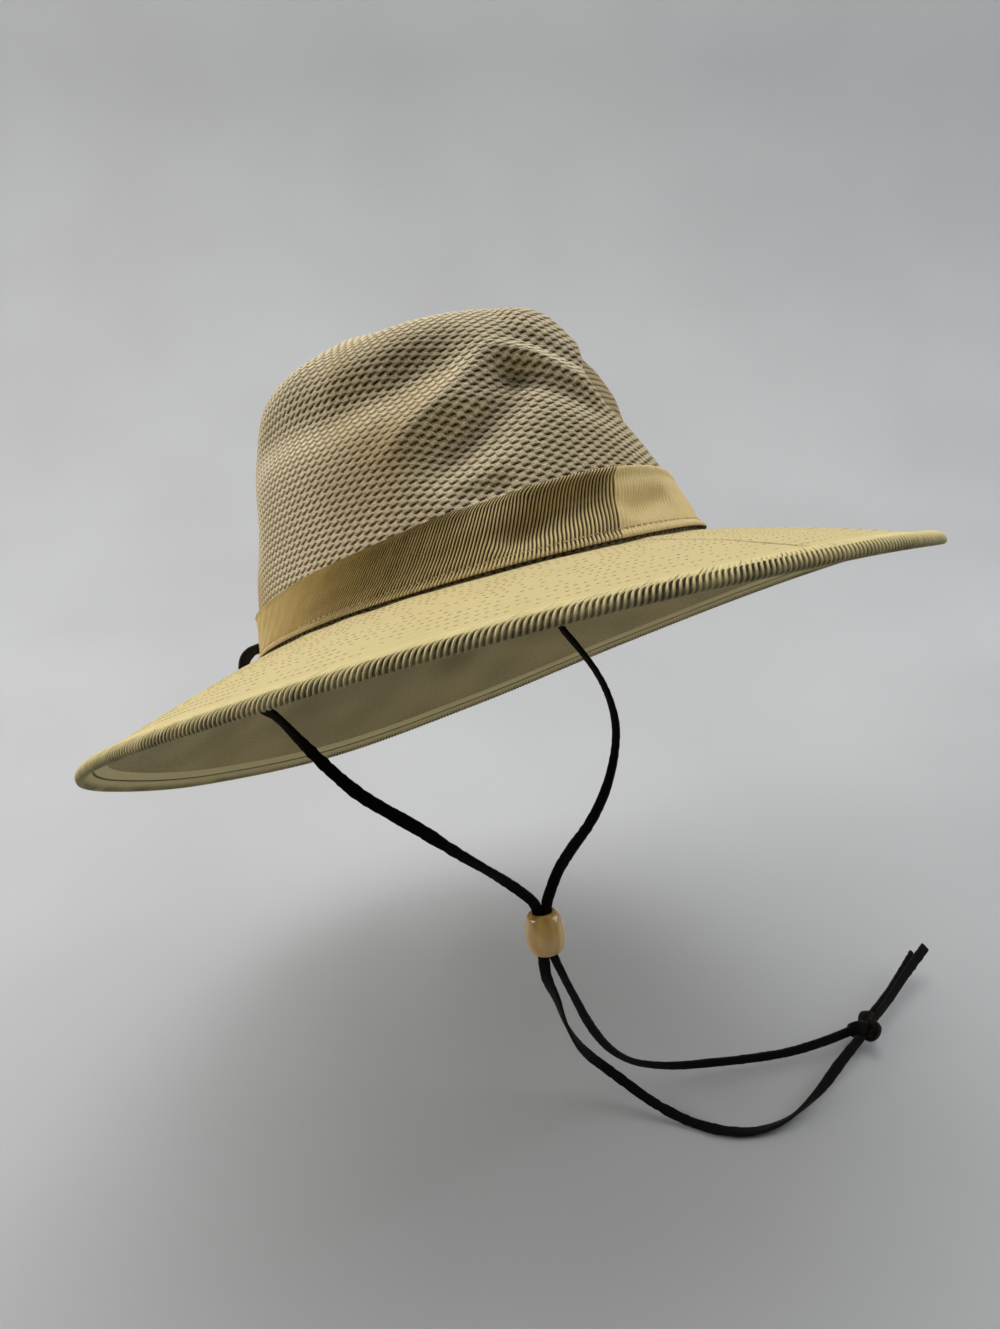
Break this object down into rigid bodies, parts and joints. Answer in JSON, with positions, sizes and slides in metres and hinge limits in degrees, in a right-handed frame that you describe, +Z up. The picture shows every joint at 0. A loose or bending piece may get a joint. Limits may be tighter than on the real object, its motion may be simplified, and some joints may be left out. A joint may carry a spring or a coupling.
{
  "type": "safari hat",
  "caption": "Khaki safari hat with a soft creased knit crown, ribbed band, wide stitched brim and a dark suede chin lace run through a wooden bead to a knot.",
  "frame": {"origin": "centre of the head opening, where crown and brim are sewn together, with the hat tipped back as it is worn", "axes": "+Z up, -Y the way the wearer faces, -X the wearer's right side; the hat's own up leans 34 degrees towards +Y and 4 degrees towards +X"},
  "size_m": [0.3646, 0.292, 0.3435],
  "materials": {
    "knit": "open knit mesh, matte",
    "ribbed_cotton": "fine upright ribs, matte",
    "cotton": "smooth cotton twill, stitched, matte",
    "suede": "suede, matte",
    "wood": "varnished, glossy"
  },
  "bodies": {
    "root": {"crown": "knit", "hat_band": "ribbed_cotton", "brim": "cotton", "lace_back": "suede", "lace_right": "suede", "lace_left": "suede", "bead": "wood", "knot": "suede", "tail_right": "suede", "tail_left": "suede"}
  },
  "joints": []
}
